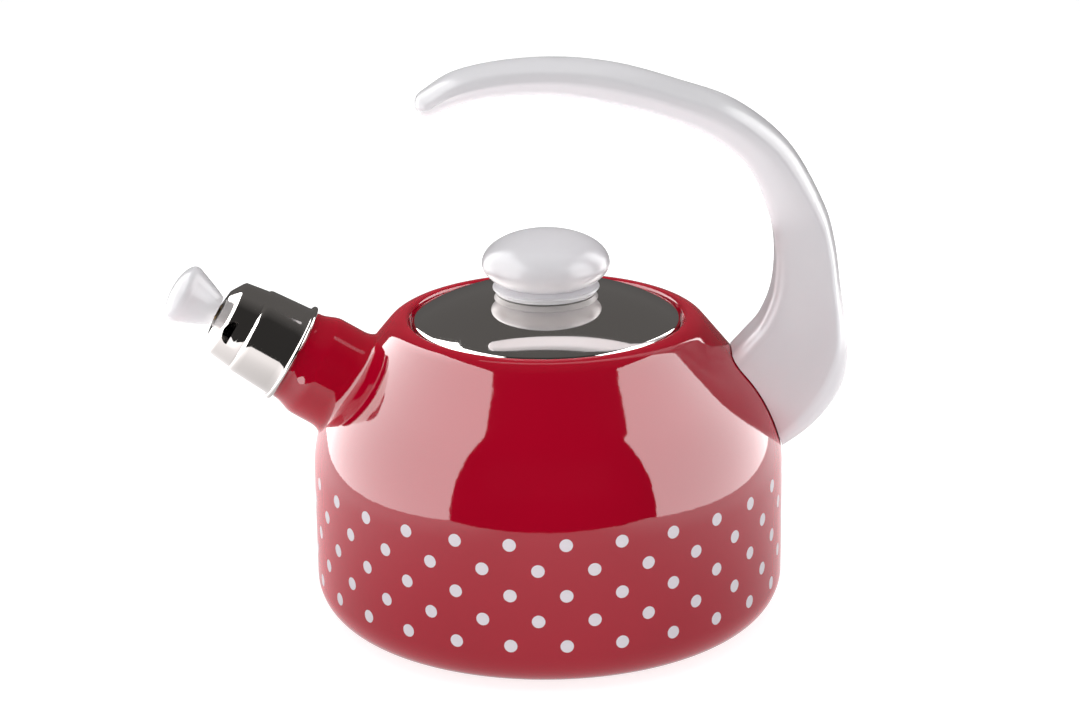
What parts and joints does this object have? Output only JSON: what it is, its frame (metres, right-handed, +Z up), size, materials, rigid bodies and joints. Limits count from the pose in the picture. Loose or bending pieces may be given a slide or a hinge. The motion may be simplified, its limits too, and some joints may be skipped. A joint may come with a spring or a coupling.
{
  "type": "stovetop whistling kettle",
  "caption": "Enamelled steel stovetop kettle with a sloping spout, a push-on whistle cap with a knob, a lift-off domed lid and a swept-over moulded handle.",
  "frame": {"origin": "middle of the kettle's flat base, where the body's axis meets the hob", "axes": "+Z up the body's axis, -X along the spout, +X towards the handle's foot"},
  "size_m": [0.2594, 0.18, 0.216],
  "materials": {
    "red_enamel": "glossy fired red enamel with a pattern of white dots on the body",
    "white_phenolic": "gloss white moulded heat-resistant plastic",
    "mirror_steel": "mirror-polished stainless steel",
    "sheet_steel": "plain pressed stainless steel sheet",
    "fastener_steel": "bright zinc-plated steel",
    "brass": "turned brass"
  },
  "bodies": {
    "kettle": {"body_shell": "red_enamel", "spout": "red_enamel", "handle_bracket": "red_enamel", "handle": "white_phenolic", "bracket_nut": "fastener_steel", "handle_screw_washer": "fastener_steel", "handle_screw": "fastener_steel"},
    "lid": {"lid_plate": "mirror_steel", "lid_skirt": "sheet_steel", "lid_knob": "white_phenolic", "lid_knob_insert": "brass", "lid_knob_washer": "fastener_steel", "lid_knob_screw": "fastener_steel"},
    "whistle": {"whistle_cap": "mirror_steel", "whistle_rear_reed": "sheet_steel", "whistle_front_reed": "sheet_steel", "whistle_knob": "white_phenolic", "whistle_knob_insert": "brass", "whistle_knob_washer": "fastener_steel", "whistle_knob_screw": "fastener_steel"}
  },
  "joints": [
    {"name": "lid_lift", "type": "slide", "parent": "kettle", "child": "lid", "axis": [0, 0, 1], "range_m": [0, 0.045]},
    {"name": "whistle_pull", "type": "slide", "parent": "kettle", "child": "whistle", "axis": [-0.8572, 0, 0.515], "range_m": [0, 0.03]}
  ]
}
